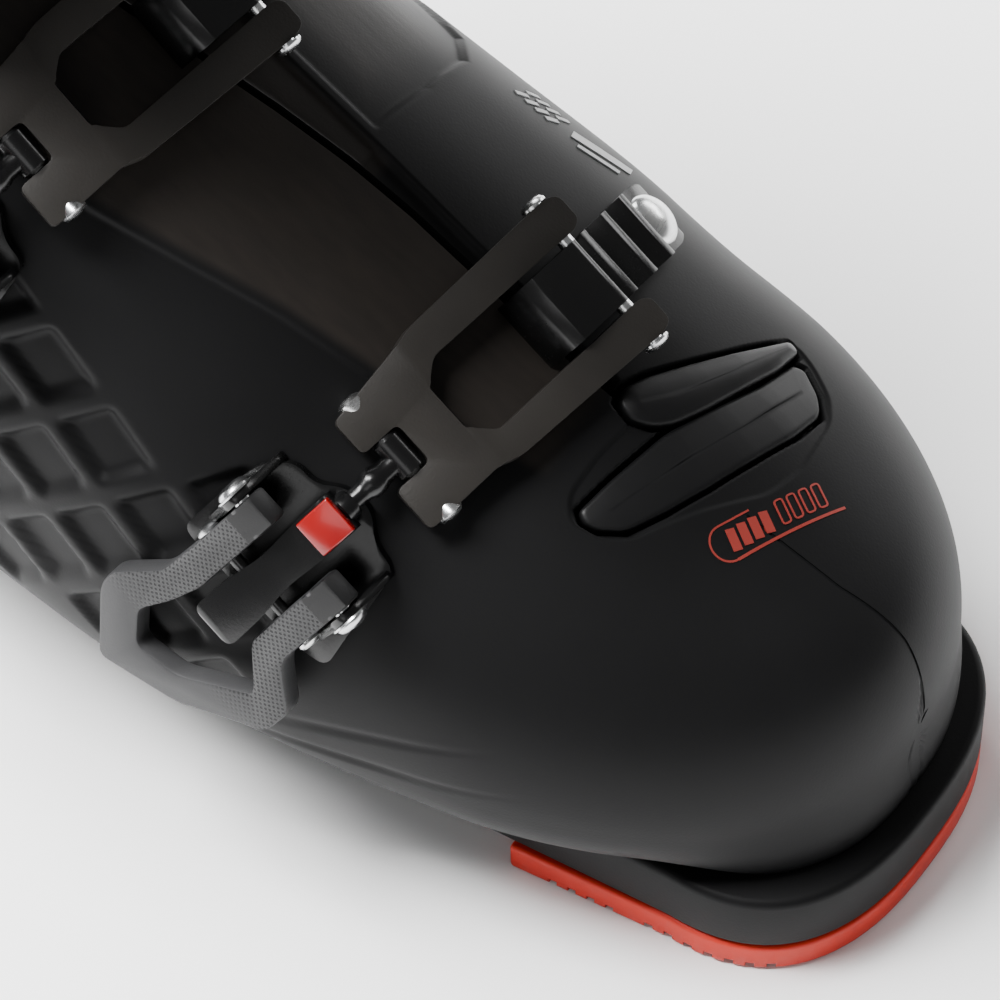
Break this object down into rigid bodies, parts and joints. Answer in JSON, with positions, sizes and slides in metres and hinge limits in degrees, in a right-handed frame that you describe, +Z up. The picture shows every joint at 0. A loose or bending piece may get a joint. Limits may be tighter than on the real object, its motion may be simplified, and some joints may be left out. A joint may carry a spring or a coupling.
{
  "type": "alpine ski boot",
  "caption": "Hinged plastic ski boot with cuff, liner, replaceable sole pads and toothed ladder buckles closed by over-centre levers.",
  "frame": {"origin": "centre of the boot's footprint box on the ground under the soles", "axes": "+X towards the toe, +Y towards the inner side of the foot, +Z up"},
  "size_m": [0.305, 0.1307, 0.336],
  "materials": {
    "shell_grey": "satin moulded",
    "sole_orange": "satin moulded",
    "hardware_black": "satin",
    "lever_grey": "satin with a fine dot grid",
    "ladder_grey": "matte",
    "adjuster_red": "gloss",
    "zinc": "polished",
    "liner_black": "soft foam",
    "strap_black": "webbing",
    "board_grey": "matte"
  },
  "bodies": {
    "foot": {"lower_shell": "shell_grey", "toe_sole_pad": "sole_orange", "heel_sole_pad": "sole_orange", "toe_sole_screw_lateral": "zinc", "toe_sole_screw_medial": "zinc", "heel_sole_screw_lateral": "zinc", "heel_sole_screw_medial": "zinc", "boot_board": "board_grey", "liner_foot": "liner_black", "throat_seal": "liner_black", "throat_flap": "shell_grey", "cuff_pivot_lateral": "zinc", "cuff_pivot_medial": "zinc", "toe_buckle_base": "hardware_black", "toe_buckle_rivet_front": "zinc", "toe_buckle_rivet_rear": "zinc", "toe_buckle_rack": "hardware_black", "toe_buckle_rack_rivet": "zinc", "instep_buckle_base": "hardware_black", "instep_buckle_rivet_front": "zinc", "instep_buckle_rivet_rear": "zinc", "instep_buckle_rack": "hardware_black", "instep_buckle_rack_rivet": "zinc"},
    "cuff": {"cuff": "shell_grey", "power_strap": "strap_black", "rear_spoiler": "hardware_black", "liner_cuff": "liner_black", "liner_tongue": "liner_black", "walk_housing": "hardware_black", "lower_cuff_buckle_base": "hardware_black", "lower_cuff_buckle_rivet_front": "zinc", "lower_cuff_buckle_rivet_rear": "zinc", "lower_cuff_buckle_rack": "hardware_black", "lower_cuff_buckle_rack_rivet": "zinc", "upper_cuff_buckle_base": "hardware_black", "upper_cuff_buckle_rivet_front": "zinc", "upper_cuff_buckle_rivet_rear": "zinc", "upper_cuff_buckle_rack": "hardware_black", "upper_cuff_buckle_rack_rivet": "zinc"},
    "toe_lever": {"toe_buckle_lever": "lever_grey"},
    "toe_ladder": {"toe_buckle_adjuster": "adjuster_red", "toe_buckle_rod": "hardware_black", "toe_buckle_frame": "ladder_grey", "toe_buckle_catch_pin": "zinc"},
    "instep_lever": {"instep_buckle_lever": "lever_grey"},
    "instep_ladder": {"instep_buckle_adjuster": "adjuster_red", "instep_buckle_rod": "hardware_black", "instep_buckle_frame": "ladder_grey", "instep_buckle_catch_pin": "zinc"},
    "lower_cuff_lever": {"lower_cuff_buckle_lever": "lever_grey"},
    "lower_cuff_ladder": {"lower_cuff_buckle_adjuster": "adjuster_red", "lower_cuff_buckle_rod": "hardware_black", "lower_cuff_buckle_frame": "ladder_grey", "lower_cuff_buckle_catch_pin": "zinc"},
    "upper_cuff_lever": {"upper_cuff_buckle_lever": "lever_grey"},
    "upper_cuff_ladder": {"upper_cuff_buckle_adjuster": "adjuster_red", "upper_cuff_buckle_rod": "hardware_black", "upper_cuff_buckle_frame": "ladder_grey", "upper_cuff_buckle_catch_pin": "zinc"},
    "walk_lever_arm": {"walk_lever": "lever_grey"}
  },
  "joints": [
    {"name": "cuff_flex", "type": "hinge", "parent": "foot", "child": "cuff", "pos_m": [-0.0605, 0.0035, 0.098], "axis": [0, 1, 0], "range_deg": [-5, 8], "stiffness_Nm_per_rad": 15},
    {"name": "walk_lever_turn", "type": "hinge", "parent": "cuff", "child": "walk_lever_arm", "pos_m": [-0.14751, 0.0035, 0.14084], "axis": [0, -1, 0], "range_deg": [0, 70]},
    {"name": "toe_lever_turn", "type": "hinge", "parent": "foot", "child": "toe_lever", "pos_m": [0.06623, -0.04581, 0.07663], "axis": [-0.876, 0.0946, 0.4729], "range_deg": [0, 110]},
    {"name": "toe_ladder_lift", "type": "hinge", "parent": "toe_lever", "child": "toe_ladder", "pos_m": [0.06192, -0.04899, 0.0693], "axis": [-0.876, 0.0946, 0.4729], "range_deg": [-155, 0]},
    {"name": "instep_lever_turn", "type": "hinge", "parent": "foot", "child": "instep_lever", "pos_m": [0.00282, -0.05171, 0.11139], "axis": [-0.8584, 0.0948, 0.5041], "range_deg": [0, 110]},
    {"name": "instep_ladder_lift", "type": "hinge", "parent": "instep_lever", "child": "instep_ladder", "pos_m": [-0.00175, -0.05489, 0.10421], "axis": [-0.8584, 0.0948, 0.5041], "range_deg": [-155, 0]},
    {"name": "lower_cuff_lever_turn", "type": "hinge", "parent": "cuff", "child": "lower_cuff_lever", "pos_m": [0.00302, -0.0456, 0.20806], "axis": [0.1888, 0, 0.982], "range_deg": [0, 110]},
    {"name": "lower_cuff_ladder_lift", "type": "hinge", "parent": "lower_cuff_lever", "child": "lower_cuff_ladder", "pos_m": [-0.00533, -0.0488, 0.20966], "axis": [0.1888, 0, 0.982], "range_deg": [-155, 0]},
    {"name": "upper_cuff_lever_turn", "type": "hinge", "parent": "cuff", "child": "upper_cuff_lever", "pos_m": [0.01241, -0.0456, 0.25228], "axis": [0.2095, 0, 0.9778], "range_deg": [0, 110]},
    {"name": "upper_cuff_ladder_lift", "type": "hinge", "parent": "upper_cuff_lever", "child": "upper_cuff_ladder", "pos_m": [0.0041, -0.0488, 0.25406], "axis": [0.2095, 0, 0.9778], "range_deg": [-155, 0]}
  ],
  "couplings": [
    {"joint": "toe_ladder_lift", "follows": "toe_lever_turn", "ratio": -1.4},
    {"joint": "instep_ladder_lift", "follows": "instep_lever_turn", "ratio": -1.4},
    {"joint": "lower_cuff_ladder_lift", "follows": "lower_cuff_lever_turn", "ratio": -1.4},
    {"joint": "upper_cuff_ladder_lift", "follows": "upper_cuff_lever_turn", "ratio": -1.4}
  ]
}
